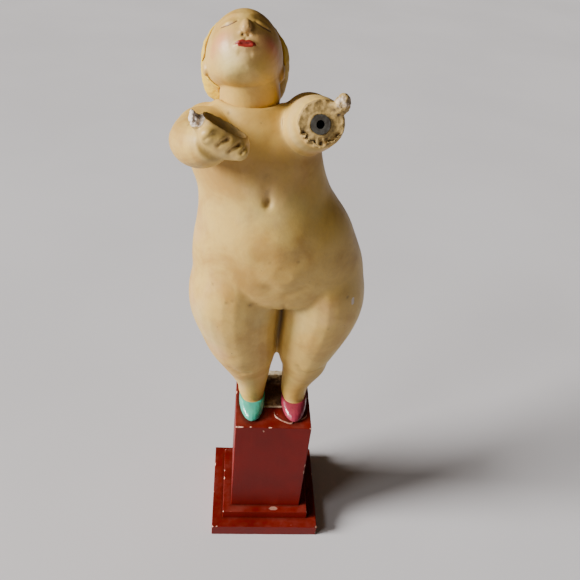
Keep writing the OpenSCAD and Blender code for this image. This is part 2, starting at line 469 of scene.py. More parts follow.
def skin_paint(settings):
    paint = Paint("skin_paint", IOR=1.48, Coat_Weight=0.12, Coat_Roughness=0.3)
    grime_and_shade = settings.grime_and_shade
    broad = paint.noise(16, 3, 0.5)
    patch = paint.noise(38, 5, 0.6, twist=0.4)
    fine = paint.noise(420, 4, 0.6)
    tone = paint.mix(paint.step(patch, 0.36, 0.72, 0, 0.85), settings.skin, settings.ochre)
    tone = paint.mix(paint.step(broad, 0.52, 0.72, 0, 0.35), tone, (0.62, 0.62, 0.30))
    flush = paint.noise(22, 4, 0.55, paint.stretched((1, 1, 0.7)))
    tone = paint.mix(paint.step(flush, 0.54, 0.74, 0, 0.34), tone, (0.72, 0.40, 0.27))
    tone = paint.mix(paint.step(fine, 0.35, 0.75, 0, 0.16), tone, (0.40, 0.27, 0.12))
    # Painted shade: dark brown in the hollows and creases, with the painted shadow of the arms across the
    # chest and the shade inside the cupped palm.
    hollow = paint.attribute("hollow")
    tone = paint.mix(hollow * (0.9 * grime_and_shade) * (0.6 + 0.6 * patch), tone, (0.20, 0.095, 0.035))
    # Brown smears on the belly and the knee, and painted shade along the groove above the navel and inside
    # the cupped palm.
    smear_and_shade = paint.attribute("smear_and_shade") * paint.step(paint.noise(160, 5, 0.7), 0.38, 0.66)
    tone = paint.mix(smear_and_shade * grime_and_shade, tone, (0.22, 0.14, 0.07))
    tone = paint.mix(paint.attribute("blush") * paint.step(paint.noise(90, 4, 0.6), 0.2, 0.7, 0.55, 1.0),
                     tone, (0.72, 0.20, 0.13))
    specks = paint.specks(85, 0.055, 0.40).most(paint.specks(210, 0.07, 0.16))
    specks = specks.most(paint.attribute("speck"))
    tone = paint.mix(specks * (0.95 * grime_and_shade), tone, (0.10, 0.045, 0.02))
    lips = paint.step(paint.attribute("lips") + 0.10 * (fine - 0.5), 0.44, 0.56)
    tone = paint.mix(lips, tone, paint.mix(patch, settings.lips, tuple(0.55 * c for c in settings.lips)))
    line = paint.step(paint.attribute("lash"), 0.42, 0.62, 0, 0.85)
    tone = paint.mix(line, tone, (0.12, 0.055, 0.03))
    crumb = paint.noise(420, 5, 0.65)
    worn = paint.step(paint.attribute("bare") + 0.55 * (paint.noise(300, 5, 0.7) - 0.5), 0.46, 0.56)
    stone = paint.mix(paint.step(crumb, 0.3, 0.7), tuple(0.5 * c for c in settings.plaster),
                      settings.plaster)
    pale = paint.step(paint.attribute("pale") + 0.5 * (paint.noise(260, 4, 0.7) - 0.5), 0.42, 0.6)
    stone = paint.mix(pale, stone, paint.mix(crumb, (0.60, 0.46, 0.36), (0.86, 0.78, 0.70)))
    tone = paint.mix(worn, tone, stone)
    # Painted shade: near black in the parting of the legs, the ear holes and the deepest pits of the broken
    # wrist.
    deep_shade = paint.attribute("deep_shade")
    tone = paint.mix(deep_shade, tone, (0.035, 0.018, 0.01))
    paint.feed(Base_Color=tone)
    gloss = 0.40 + 0.22 * patch + 0.12 * (fine - 0.5)
    paint.feed(Roughness=(gloss + 0.3 * hollow - 0.18 * lips) * (1 - worn) + 0.9 * worn)
    paint.bump(0.35 * fine + 0.25 * patch + 0.2 * paint.noise(140, 3) - 0.35 * specks + worn * crumb * 0.9
               - 0.15 * worn, 0.00045, 0.75)
    return paint.material


def hair_paint(settings):
    paint = Paint("hair_paint", IOR=1.48)
    patch = paint.noise(70, 5, 0.6)
    fine = paint.noise(500, 4, 0.6)
    strand = paint.attribute("strand")
    tone = paint.mix(paint.step(patch, 0.35, 0.7, 0, 0.6), settings.hair, (0.62, 0.40, 0.08))
    # Painted shade in the grooves between the combed strands.
    tone = paint.mix(paint.step(strand, 0.45, 1.0, 0, 0.55), tone, (0.42, 0.24, 0.05))
    # Painted shade in the hollows of the hair.
    tone = paint.mix(paint.attribute("hollow") * 0.7, tone, (0.24, 0.12, 0.03))
    specks = paint.specks(120, 0.06, 0.4)
    tone = paint.mix(specks * 0.8, tone, (0.10, 0.05, 0.02))
    paint.feed(Base_Color=tone, Roughness=0.42 + 0.2 * patch)
    paint.bump(0.4 * fine + 0.3 * patch - 0.4 * specks, 0.0004, 0.7)
    return paint.material


def enamel(name, base, deep, dust):
    """Glossy enamel with brush marks, dust and rubbed places."""
    paint = Paint(name, IOR=1.5, Coat_Weight=0.6, Coat_Roughness=0.12)
    patch = paint.noise(110, 4, 0.6)
    brush = paint.noise(260, 4, 0.6, paint.stretched((1, 0.25, 1)))
    tone = paint.mix(paint.step(patch, 0.3, 0.75, 0, 0.7), base, deep)
    # Painted shade in the hollows of the shoe.
    tone = paint.mix(paint.attribute("hollow") * 0.7, tone, tuple(0.25 * c for c in deep))
    rubbed = paint.step(paint.attribute("edge") + 0.8 * (paint.noise(420, 4, 0.65) - 0.5), 0.72, 0.82)
    tone = paint.mix(rubbed, tone, dust)
    specks = paint.specks(300, 0.09, 0.2)
    tone = paint.mix(specks * 0.7, tone, (0.05, 0.04, 0.03))
    paint.feed(Base_Color=tone, Roughness=0.2 + 0.16 * patch + 0.4 * rubbed)
    paint.bump(0.5 * brush + 0.3 * patch - 0.3 * specks, 0.0003, 0.6)
    return paint.material


def plinth_paint(settings):
    paint = Paint("plinth_paint", IOR=1.45, Specular_IOR_Level=0.2, Coat_Weight=0.04, Coat_Roughness=0.25)
    broad = paint.noise(26, 4, 0.6)
    brush = paint.noise(210, 4, 0.6, paint.stretched((1, 1, 0.12)))
    fine = paint.noise(800, 4, 0.65)
    dark = tuple(0.80 * c for c in settings.red)
    light = tuple(min(1, 1.14 * c) for c in settings.red)
    tone = paint.mix(paint.step(broad, 0.3, 0.75), dark, light)
    tone = paint.mix(paint.step(brush, 0.55, 0.85, 0, 0.22), tone, (0.27, 0.018, 0.01))
    tone = paint.mix(paint.step(fine, 0.62, 0.8, 0, 0.06), tone, (0.40, 0.07, 0.045))
    dust = paint.attribute("ledge") * paint.step(paint.noise(60, 5, 0.7), 0.4, 0.75, 0, 0.14)
    tone = paint.mix(dust, tone, (0.46, 0.20, 0.14))
    # Painted shade round the foot of each piece that stands on this one.
    tone = paint.mix(paint.attribute("shade_at_base") * 0.75, tone, (0.07, 0.010, 0.006))
    edge = paint.attribute("edge")
    rub = paint.step(edge + 0.85 * (paint.noise(120, 5, 0.7) - 0.5), 0.93, 1.07, 0, 0.7)
    tone = paint.mix(rub, tone, (0.62, 0.17, 0.11))
    mark_noise = 0.5 * (paint.noise(520, 4, 0.65) - 0.5)
    chip = paint.step(paint.attribute("chip") + mark_noise, 0.52, 0.60)
    wood = paint.mix(paint.noise(600, 4, 0.7), settings.primer, (0.86, 0.58, 0.46))
    tone = paint.mix(chip, tone, wood)
    scar = paint.step(paint.attribute("scar") + mark_noise, 0.42, 0.56)
    tone = paint.mix(scar, tone, paint.mix(fine, (0.30, 0.13, 0.09), (0.50, 0.28, 0.21)))
    specks = paint.specks(95, 0.05, 0.30)
    tone = paint.mix(specks * 0.6, tone, (0.62, 0.30, 0.22))
    paint.feed(Base_Color=tone)
    paint.feed(Roughness=0.30 + 0.20 * broad + 0.10 * fine + 0.45 * chip.most(dust))
    paint.bump(0.5 * brush + 0.25 * fine + 0.2 * broad - 0.9 * chip - 0.5 * scar, 0.0004, 0.6)
    return paint.material


def plaster_finish(settings):
    paint = Paint("bed_plaster", Roughness=0.85)
    patch = paint.noise(120, 5, 0.65)
    crumb = paint.noise(900, 5, 0.7)
    tone = paint.mix(paint.step(patch, 0.38, 0.64), (0.075, 0.035, 0.014), (0.40, 0.27, 0.12))
    tone = paint.mix(paint.step(crumb, 0.4, 0.75, 0, 0.5), tone, (0.13, 0.07, 0.03))
    # Pale along the front lip and the top: worn edges, with a painted highlight where the light catches
    # them.
    tone = paint.mix(paint.attribute("edge") * paint.step(paint.noise(260, 4), 0.3, 0.6), tone,
                     (0.62, 0.52, 0.36))
    # Painted shadow of the legs: darker low down and towards the back.
    tone = paint.mix(paint.attribute("shade_at_base"), tone, (0.10, 0.045, 0.02))
    paint.feed(Base_Color=tone, Roughness=0.7 + 0.25 * crumb)
    paint.bump(0.8 * crumb + 0.4 * patch, 0.0005, 0.8)
    return paint.material


def glue_finish():
    paint = Paint("bead_glue", IOR=1.45)
    patch = paint.noise(240, 5, 0.65)
    tone = paint.mix(paint.step(patch, 0.35, 0.65), (0.30, 0.12, 0.08), (0.68, 0.42, 0.32))
    paint.feed(Base_Color=tone, Roughness=0.4 + 0.3 * patch)
    paint.bump(paint.noise(900, 4) * 0.8 + patch * 0.4, 0.0003, 0.7)
    return paint.material


def metal(name, base, stain, rough):
    """Aged metal with scratches and stains."""
    paint = Paint(name, Metallic=0.85)
    patch = paint.noise(300, 5, 0.65)
    scratch = paint.noise(900, 4, 0.6, paint.stretched((1, 0.15, 0.15)))
    tone = paint.mix(paint.step(patch, 0.35, 0.68), base, stain)
    tone = paint.mix(paint.step(scratch, 0.6, 0.8, 0, 0.4), tone, (0.6, 0.6, 0.6))
    paint.feed(Base_Color=tone, Roughness=rough + 0.3 * patch)
    paint.bump(0.6 * scratch + 0.4 * patch, 0.0001, 0.6)
    return paint.material


def dowel_finish():
    paint = Paint("dowel_wood_finish", Roughness=0.7)
    grain = paint.noise(700, 5, 0.6, paint.stretched((1, 0.12, 0.12)), 0.5)
    pores = paint.noise(2200, 3, 0.6, paint.stretched((1, 0.08, 0.08)))
    tone = paint.mix(paint.step(grain, 0.35, 0.7), (0.52, 0.34, 0.17), (0.36, 0.20, 0.09))
    tone = paint.mix(paint.step(pores, 0.62, 0.75, 0, 0.6), tone, (0.20, 0.10, 0.04))
    paint.feed(Base_Color=tone, Roughness=0.6 + 0.25 * grain)
    paint.bump(0.6 * grain + 0.5 * pores, 0.0002, 0.7)
    return paint.material


def floor_finish(settings):
    paint = Paint("floor_cloth", Roughness=0.9)
    broad = paint.noise(3.2, 3, 0.5)
    fine = paint.noise(900, 3, 0.6)
    tone = paint.mix(paint.step(broad, 0.3, 0.7), settings.floor, tuple(0.94 * c for c in settings.floor))
    paint.feed(Base_Color=tone)
    paint.bump(0.5 * fine, 0.0003, 0.35)
    return paint.material


# ---- plinth ----

def box_in_mm(node):
    low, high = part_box(node)
    return np.array(low) / MM, np.array(high) / MM


def worn_block(node, name, settings, chips, scars, seed):
    """A block with rounded, uneven edges and chips knocked out of them."""
    low, high = box_in_mm(node)
    half = (high - low) / 2
    middle = (high + low) / 2
    deselect()
    bpy.ops.mesh.primitive_cube_add(size=2, location=(0, 0, 0))
    piece = named(name)
    edit(piece)
    bpy.ops.mesh.subdivide(number_cuts=settings.cuts)
    leave_edit()
    clay = Clay(piece)
    band = 2.0
    even = clay.points * MM
    inner = half - band
    far = np.abs(even)
    spaced = np.where(far < 0.5, inner * far / 0.5, inner + band * (far - 0.5) / 0.5)
    points = np.sign(even) * spaced
    clay.points = points + middle
    wave = clay.rough(9, seed)
    radius = settings.edge / MM * np.clip(1 + 0.55 * wave, 0.4, 2.0)
    radius = radius[:, None]
    core = np.clip(points, -(half - radius), half - radius)
    out = points - core
    length = np.linalg.norm(out, axis=1)
    corner = np.sum(np.abs(out) > 1e-6, axis=1)
    limit = np.where(corner > 1, radius[:, 0] / np.maximum(length, 1e-9), 1)
    points = core + out * np.minimum(limit, 1)[:, None]
    near = np.sort(half - np.abs(points), axis=1)
    edge = np.exp(-((near[:, 0] + near[:, 1]) / 0.75) ** 2)
    inward = -np.where(half - np.abs(points) < 1.2, np.sign(points), 0)
    inward = inward / np.maximum(np.linalg.norm(inward, axis=1), 1)[:, None]
    chip = np.zeros(len(points))
    world = points + middle
    fuzz = clay.rough(1.6, seed + 1)
    for x, y, z, rx, ry, rz, depth in chips:
        away = np.linalg.norm((world - [x, y, z]) / (0.8 * np.array([rx, ry, rz])), axis=1) + 0.3 * fuzz
        bite = np.clip(1 - away ** 2, 0, 1)
        world = world + inward * (depth * bite)[:, None]
        chip = np.maximum(chip, np.clip(1.25 - 0.75 * away, 0, 1))
    scar = np.zeros(len(points))
    for x, y, z, rx, ry, rz in scars:
        away = np.linalg.norm((world - [x, y, z]) / [rx, ry, rz], axis=1)
        scar = np.maximum(scar, np.clip(1.25 - 0.75 * away, 0, 1))
    clay.points = world
    clay.within(low * MM, high * MM)
    foot = world[:, 2] < low[2] + 0.02
    clay.points[foot, 2] = low[2]
    clay.done()
    mark(piece, "edge", edge)
    mark(piece, "chip", chip)
    mark(piece, "scar", scar)
    return piece, clay


def screw_cutter(settings):
    """Four screw holes with their countersinks."""
    tools = []
    low, high = box_in_mm("plinth_screws")
    reach = (high[:2] - low[:2]) / 2
    for side in (-1, 1):
        for end in (-1, 1):
            x, y = ((low[:2] + high[:2]) / 2 + (side, end) * (reach - HEAD_R)) * MM
            deselect()
            bpy.ops.mesh.primitive_cylinder_add(vertices=48, radius=SHANK_R * MM, depth=HOLE_DEEP * MM,
                                                location=(x, y, (HOLE_DEEP / 2 - 1.5) * MM))
            tools.append(bpy.context.object)
            bpy.ops.mesh.primitive_cone_add(vertices=48, radius1=SINK_R * MM, radius2=SHANK_R * MM,
                                            depth=SINK_DEEP * MM, location=(x, y, 2.0 * MM))
            cone = bpy.context.object
            cut(tools[-1], cone, "UNION")
    cutter = joined(tools)
    only(cutter)
    bpy.ops.object.transform_apply(location=True, rotation=True, scale=True)
    return cutter


class STATUETTE_OT_plinth(bpy.types.Operator):
    """Build the two slabs and the tall block, with worn edges, chips and screw holes"""
    bl_idname = "statuette.plinth"
    bl_label = "Plinth"

    def execute(self, context):
        settings = context.scene.statuette_plinth
        paint = plinth_paint(settings)
        low, high = box_in_mm("base_slab")
        corners = [(low[0], low[1], high[2]), (high[0], low[1], high[2])]
        base, clay = worn_block(
            "base_slab", "base_slab_painted", settings,
            [(corners[0][0], corners[0][1], corners[0][2], 1.7, 1.3, 1.1, 0.7),
             (low[0] + 4.2, low[1], high[2], 1.6, 1.0, 0.9, 0.6),
             (corners[1][0] - 0.5, corners[1][1], corners[1][2], 1.8, 1.4, 1.3, 0.8),
             (high[0], low[1], 3.6, 0.9, 0.9, 1.4, 0.5),
             (low[0], -6, high[2], 0.8, 1.6, 0.8, 0.4), (low[0], 21, high[2], 0.9, 2.2, 0.9, 0.5),
             (high[0], 12, high[2], 0.9, 2.4, 0.9, 0.5), (-15, high[1], high[2], 2.4, 0.9, 0.9, 0.5),
             (high[0], high[1], high[2], 1.2, 1.2, 1.2, 0.7), (2, low[1], high[2], 1.0, 0.6, 0.5, 0.3)],
            [], 1)
        self.shade(base, clay, "middle_slab")
        low, high = box_in_mm("middle_slab")
        middle, clay = worn_block(
            "middle_slab", "middle_slab_painted", settings,
            [(low[0], low[1], high[2], 1.1, 1.1, 0.9, 0.5), (low[0], 1.0, high[2], 0.9, 2.0, 0.9, 0.6),
             (low[0] + 0.1, 8.5, high[2], 0.6, 1.2, 0.5, 0.3),
             (high[0], low[1], high[2], 1.0, 1.0, 0.8, 0.5),
             (high[0], 14, high[2], 0.8, 1.8, 0.8, 0.5), (11, high[1], high[2], 2.0, 0.8, 0.8, 0.4),
             (low[0], high[1], high[2], 1.3, 1.3, 1.0, 0.6)],
            [(6.4, -27.6, high[2], 3.5, 1.7, 1.0)], 2)
        self.shade(middle, clay, "plinth_block")
        low, high = box_in_mm("plinth_block")
        block, clay = worn_block(
            "plinth_block", "plinth_block_painted", settings,
            [(low[0] + 1.6, low[1], high[2], 3.2, 1.3, 1.0, 0.8),
             (low[0] + 4.6, low[1], high[2], 2.0, 0.9, 0.7, 0.6),
             (low[0] + 8.9, low[1], high[2], 1.1, 0.8, 0.7, 0.5),
             (low[0] + 10.6, low[1], high[2], 0.9, 1.0, 0.6, 0.4),
             (-2.6, low[1], high[2], 1.7, 0.8, 0.7, 0.5),
             (high[0] - 0.8, low[1], high[2], 1.3, 0.9, 0.9, 0.6),
             (22.6, low[1], 108.6, 1.5, 0.6, 0.9, 0.3), (24.0, low[1], 110.2, 0.9, 0.6, 0.6, 0.3),
             (high[0], low[1], 70.5, 0.9, 0.9, 2.6, 0.6), (high[0] - 0.2, low[1], 61.8, 1.0, 0.9, 2.9, 0.7),
             (high[0], low[1], 78.0, 0.6, 0.6, 1.2, 0.4), (low[0], low[1], 92, 0.5, 0.5, 1.4, 0.3),
             (low[0], 9, high[2], 0.8, 2.2, 0.8, 0.5), (high[0], 5, high[2], 0.8, 1.6, 0.8, 0.5),
             (low[0], high[1], high[2], 1.5, 1.2, 1.2, 0.8), (12, high[1], high[2], 2.0, 0.8, 0.8, 0.5),
             (high[0], high[1], 58, 0.8, 0.8, 2.4, 0.5)],
            [(-7.0, low[1], 109.0, 0.8, 1.0, 1.2)], 3)
        self.shade(block, clay, "right_shoe", "left_shoe", "foot_bridge")
        holes = screw_cutter(settings)
        cut(base, holes, "DIFFERENCE", True)
        cut(middle, holes, "DIFFERENCE", True)
        cut(block, holes, "DIFFERENCE")
        cut(block, copy_of("leg_rods", "rod_cutter"), "DIFFERENCE")
        finish(base, paint, "red_wood", "base_slab")
        finish(middle, paint, "red_wood", "middle_slab")
        finish(block, paint, "red_wood", "plinth_block")
        return {"FINISHED"}

    def shade(self, piece, clay, *above):
        """Dust on the ledges, and painted shade where the next piece up stands on this one."""
        up = clay.normals[:, 2] > 0.7
        mark(piece, "ledge", up.astype(float))
        # Painted shade round the foot of each piece above.
        shade_at_base = np.zeros(len(clay.points))
        for node in above:
            low, high = box_in_mm(node)
            half = (high[:2] - low[:2]) / 2
            offset = clay.points[:, :2] - (high[:2] + low[:2]) / 2
            if node.endswith("shoe"):
                gap = np.maximum(np.linalg.norm(offset / half, axis=1) - 1, 0) * half[0]
            else:
                gap = np.linalg.norm(np.maximum(np.abs(offset) - half, 0), axis=1)
            shade_at_base = np.maximum(shade_at_base, np.exp(-(gap / 1.1) ** 2) * up)
        mark(piece, "shade_at_base", shade_at_base)


# ---- shoes and the bed between them ----

class STATUETTE_OT_shoes(bpy.types.Operator):
    """Build the two glossy shoes with their rounded top lines"""
    bl_idname = "statuette.shoes"
    bl_label = "Shoes"

    def execute(self, context):
        settings = context.scene.statuette_shoes
        for node, slot, tone, deep, seed in (
                ("right_shoe", "turquoise_enamel", settings.right, (0.03, 0.36, 0.27), 4),
                ("left_shoe", "pink_enamel", settings.left, (0.16, 0.012, 0.03), 5)):
            piece = copy_of(node, node + "_enamelled")
            remesh(piece, settings.grain, 5)
            low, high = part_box(node)
            clay = Clay(piece)
            clay.push(0.07 * clay.rough(5, seed) * (clay.points[:, 2] > low[2] / MM + 0.6))
            clay.within(low, high)
            clay.done()
            # Painted shade in the hollows of the shoe.
            hollow = hollows(clay, 8, 6)
            top = np.exp(-((high[2] / MM - clay.points[:, 2]) / 0.8) ** 2)
            foot = np.exp(-((clay.points[:, 2] - low[2] / MM) / 0.5) ** 2)
            mark(piece, "hollow", hollow)
            mark(piece, "edge", np.clip(0.32 * top + 0.42 * foot, 0, 1))
            finish(piece, enamel(node + "_paint", tone, deep, (0.72, 0.56, 0.44)), slot, node)
        return {"FINISHED"}


class STATUETTE_OT_foot_bed(bpy.types.Operator):
    """Build the rough plaster between the feet and the bead of glue round the left shoe"""
    bl_idname = "statuette.foot_bed"
    bl_label = "Foot bed"

    def execute(self, context):
        figure = context.scene.statuette_figure
        low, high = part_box("foot_bridge")
        piece = copy_of("foot_bridge", "foot_bridge_rough")
        remesh(piece, 0.00035, 3)
        clay = Clay(piece)
        rise = clay.points[:, 2] - low[2] / MM
        clay.push((0.28 * clay.rough(1.8, 6) - 0.1) * (rise > 0.25))
        clay.within(low, high)
        clay.done()
        # Worn pale edges, with a painted highlight along the front lip and the top.
        lip = np.exp(-((clay.points[:, 1] - low[1] / MM) / 1.0) ** 2)
        top = np.exp(-((clay.points[:, 2] - high[2] / MM) / 1.2) ** 2)
        mark(piece, "edge", np.clip(lip + top, 0, 1))
        # Painted shadow of the legs: darker low down and towards the back.
        behind = np.clip((clay.points[:, 1] - low[1] / MM - 4) / 4, 0, 1)
        mark(piece, "shade_at_base", 0.9 * np.clip(1 - rise / 8, 0, 1) * behind)
        finish(piece, plaster_finish(figure), "bare_plaster", "foot_bridge")
        self.glue_bead()
        return {"FINISHED"}

    def glue_bead(self):
        low, high = box_in_mm("left_shoe")
        floor = box_in_mm("plinth_block")[1][2]
        centre = ((low[0] + high[0]) / 2 - 1.2, low[1] + 12.5)
        deselect()
        bpy.ops.mesh.primitive_torus_add(location=(0, 0, 0), major_radius=1, minor_radius=0.03,
                                         major_segments=180, minor_segments=14)
        piece = named("glue_bead")
        edit(piece)
        bpy.ops.mesh.select_all(action="DESELECT")
        leave_edit()
        for vertex in piece.data.vertices:
            angle = math.degrees(math.atan2(vertex.co.y, vertex.co.x))
            vertex.select = not -172 < angle < -18
        bpy.ops.object.mode_set(mode="EDIT")
        bpy.ops.mesh.delete(type="VERT")
        bpy.ops.mesh.select_all(action="SELECT")
        bpy.ops.mesh.fill_holes(sides=0)
        bpy.ops.mesh.normals_make_consistent(inside=False)
        leave_edit()
        clay = Clay(piece)
        ring = clay.points * MM
        angle = np.arctan2(ring[:, 1], ring[:, 0])
        reach = np.hypot(ring[:, 0], ring[:, 1])
        wave = np.array([noise.noise(Vector((math.cos(a) * 3, math.sin(a) * 3, 2.0))) for a in angle])
        turned = np.degrees(angle)
        ends = np.clip((turned + 172) / 30, 0.25, 1) * np.clip((-18 - turned) / 30, 0.25, 1)
        thick = 21 * (1 + 0.4 * wave) * ends
        radius = np.where(angle < -math.pi / 2, 13.8, 11.8) + 0.7 * wave
        clay.points = np.stack([
            centre[0] + np.cos(angle) * (radius + (reach - 1) * thick),
            centre[1] + np.sin(angle) * (radius * 0.92 + (reach - 1) * thick),
            floor + 0.12 + np.maximum(ring[:, 2] * thick * 0.9, -0.12)], axis=1)
        clay.done()
        finish(piece, glue_finish(), "bare_plaster")


# ---- body and arms ----

def figure_rough(settings):
    """Body and arms run together as one soft skin, for the pieces to be cut from."""
    parts = [copy_of(node, "rough_" + node) for node in ("body", "right_arm", "left_arm")]
    rough = joined(parts)
    rough.name = "figure_rough"
    remesh(rough, settings.body_grain, 16)
    rough = largest_part(rough)
    rough.name = "figure_rough"
    clay = Clay(rough)
    height = clay.points[:, 2]
    trunk = np.clip((clay.points[:, 1] + 30) / 6, 0, 1)
    soften(clay, between(height, 205, 300, 20) * trunk, 30)
    outer = np.clip((np.abs(clay.points[:, 0] + 5) - 18) / 12, 0, 1)
    soften(clay, between(height, 215, 295, 15) * trunk * outer, 90)
    shoulder = between(height, 300, 350, 8) * np.clip((clay.points[:, 1] + 34) / 8, 0, 1)
    soften(clay, shoulder * np.clip((12 - clay.points[:, 1]) / 6, 0, 1), 22)
    clay.done()
    return rough


def arm_cutter(node, settings):
    cutter = copy_of(node, "cutter_" + node)
    remesh(cutter, settings.body_grain, 2)
    modify(cutter, "DISPLACE", strength=1.1 * MM, mid_level=0)
    return cutter


def largest_part(piece):
    """Keeps the largest of the separate shells."""
    edit(piece)
    bpy.ops.mesh.separate(type="LOOSE")
    leave_edit()
    parts = list(bpy.context.selected_objects)
    parts.sort(key=lambda part: -len(part.data.vertices))
    for part in parts[1:]:
        bpy.data.objects.remove(part)
    return parts[0]


class STATUETTE_OT_body(bpy.types.Operator):
    """Build the body: torso, hips and legs, with the soft folds of the cast"""
    bl_idname = "statuette.body"
    bl_label = "Body"

    def execute(self, context):
        settings = context.scene.statuette_figure
        rough = figure_rough(settings)
        clay = Clay(rough)
        behind_arms = np.clip((clay.points[:, 1] + 33) / 5, 0, 1)
        clay.reach = np.maximum(behind_arms, np.clip((300 - clay.points[:, 2]) / 5, 0, 1))
        self.front(clay)
        self.back(clay)
        soften(clay, between(clay.points[:, 2], 238, 291, 6) * clay.reach, 14)
        clay.done()
        modify(rough, "SMOOTH", factor=0.35, iterations=2)
        clay = Clay(rough)
        clay.push(0.10 * clay.rough(14, 7, 2) - 0.05)
        clay.done()
        piece = twin(rough, "body_cast")
        for node in ("right_arm", "left_arm"):
            cut(piece, arm_cutter(node, settings), "DIFFERENCE")
        piece = largest_part(piece)
        piece.name = "body_cast"
        clay = Clay(piece)
        clay.within(*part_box("body"))
        clay.done()
        self.marks(piece, clay)
        finish(piece, skin_paint(settings), "flesh_paint", "body", crease=50)
        return {"FINISHED"}

    def front(self, clay):
        """Belly, folds, navel and knees: points in millimetres, then width and height."""
        clay.dome((-10, 0, 279), (24, 1, 20), 2.0, FRONT)
        clay.line([(15, 0, 290), (13, 0, 278), (6, 0, 268.5), (-5.4, 0, 264), (-18.6, 0, 265.5)],
                  7.0, -1.1, FRONT)
        clay.line([(-18.6, 0, 265.5), (-34, 0, 260)], 8.0, -0.4, FRONT)
        clay.line([(-38, 0, 262), (-24, 0, 252), (-14, 0, 246)], 6.0, -0.8, FRONT)
        clay.line([(-14, 0, 246), (-3.5, 0, 241.6), (5, 0, 246)], 3.4, -0.9, FRONT)
        clay.dome((-4, 0, 252), (11, 1, 7), 1.0, FRONT)
        clay.line([(5, 0, 246), (22, 0, 266)], 7.0, -0.5, FRONT)
        clay.line([(-3.2, 0, 232), (-1.4, 0, 205), (-2, 0, 176)], 1.6, -0.4, FRONT)
        clay.line([(-18.2, 0, 330), (-17.6, 0, 303)], 3.8, -0.6, FRONT)
        clay.dome((-17.3, 0, 298.3), (1.9, 1, 2.6), -2.2, FRONT)
        clay.dome((-17.3, 0, 298.3), (6, 1, 6), -0.5, FRONT)
        for x in (-27.0, 22.0):
            clay.dome((x, 0, 172), (7.5, 1, 7), 0.8, FRONT)
        clay.line([(-33, 0, 166), (-26, 0, 160.5), (-21, 0, 161.5)], 2.2, -0.7, FRONT)
        clay.line([(12, 0, 171), (15, 0, 165.5), (21, 0, 164), (28, 0, 166.5)], 2.0, -0.8, FRONT)

    def back(self, clay):
        """Spine, seat, shoulder blades and the backs of the knees."""
        clay.line([(-26, 0, 338), (-21, 0, 312), (-14, 0, 285), (-8, 0, 262)], 4.5, -1.3, BACK)
        clay.line([(-7, 0, 258), (-6, 0, 240), (-5, 0, 222)], 2.2, -3.4, BACK)
        clay.line([(-5, 0, 222), (-3, 0, 200), (-2, 0, 180)], 1.8, -1.6, BACK)
        clay.line([(-44, 0, 221), (-30, 0, 212), (-14, 0, 212), (-6, 0, 218)], 3.0, -1.8, BACK)
        clay.line([(32, 0, 221), (20, 0, 212), (6, 0, 212), (-4, 0, 218)], 3.0, -1.8, BACK)
        clay.dome((-42, 0, 322), (11, 1, 14), 1.2, BACK)
        clay.dome((-6, 0, 324), (11, 1, 14), 1.2, BACK)
        for x in (-21, 0):
            clay.dome((x, 0, 268), (3.5, 1, 3.5), -0.8, BACK)
        for x in (-26, 20):
            clay.line([(x - 8, 0, 163), (x, 0, 161), (x + 8, 0, 163)], 1.8, -0.8, BACK)

    def marks(self, piece, clay):
        # Painted shade in the hollows of the body.
        hollow = hollows(clay, 10, 3.2)
        # Painted shadow of the arms: a dark band across the chest below them.
        top = clay.line_distance([(-60, 0, 315), (-25, 0, 320), (12, 0, 322)], FRONT)
        hollow = np.maximum(hollow, 0.6 * np.exp(-(top / 9) ** 2) * clay.facing(FRONT))
        # Painted shade in the navel.
        navel = clay.line_distance([(-17.3, 0, 299), (-17.3, 0, 297.6)], FRONT)
        hollow = np.maximum(hollow, np.exp(-(navel / 1.5) ** 2) * clay.facing(FRONT))
        # Painted shade in the parting of the legs, near black at its deepest.
        parting = clay.line_distance([(-3.2, 0, 236), (-1.4, 0, 205), (-2, 0, 176)], FRONT)
        hollow = np.maximum(hollow, np.exp(-(parting / 1.6) ** 2) * between(clay.points[:, 2], 170, 234, 6))
        mark(piece, "deep_shade", 0.75 * np.exp(-(parting / 1.2) ** 2) * between(clay.points[:, 2], 174, 231, 14))
        mark(piece, "hollow", hollow)
        # Brown smears on the belly and the knee, and painted shade along the groove above the navel.
        patch = clay.line_distance([(-8, 0, 269), (-2, 0, 271)], FRONT)
        above = clay.line_distance([(-18.4, 0, 312), (-18.2, 0, 303)], FRONT)
        knee = clay.line_distance([(-31, 0, 167), (-27, 0, 172)], FRONT)
        smear_and_shade = 0.35 * np.exp(-(patch / 5) ** 2) + 0.8 * np.exp(-(above / 1.8) ** 2)
        smear_and_shade = smear_and_shade + 0.5 * np.exp(-(knee / 4) ** 2)
        mark(piece, "smear_and_shade", np.clip(smear_and_shade * clay.facing(FRONT), 0, 1))
        speck = np.zeros(len(clay.points))
        for x, z, size in ((-37.7, 231, 0.9), (-23.4, 229.6, 0.9), (-34, 233, 0.7), (35.5, 236, 0.8),
                           (26, 214, 0.6), (-46, 240, 0.7), (-8, 262, 0.6), (-14, 265, 0.6), (2, 266, 0.7),
                           (-40.2, 341.7, 0.7)):
            away = clay.line_distance([(x, 0, z), (x + 0.1, 0, z)], FRONT)
            speck = np.maximum(speck, np.exp(-(away / size) ** 2))
        mark(piece, "speck", speck * clay.facing(FRONT))
        chip = clay.line_distance([(39.6, 0, 233), (39.9, 0, 230)], FRONT)
        mark(piece, "bare", np.exp(-(chip / 1.1) ** 2) * clay.facing(FRONT))
        mark(piece, "pale", np.exp(-(chip / 2) ** 2))


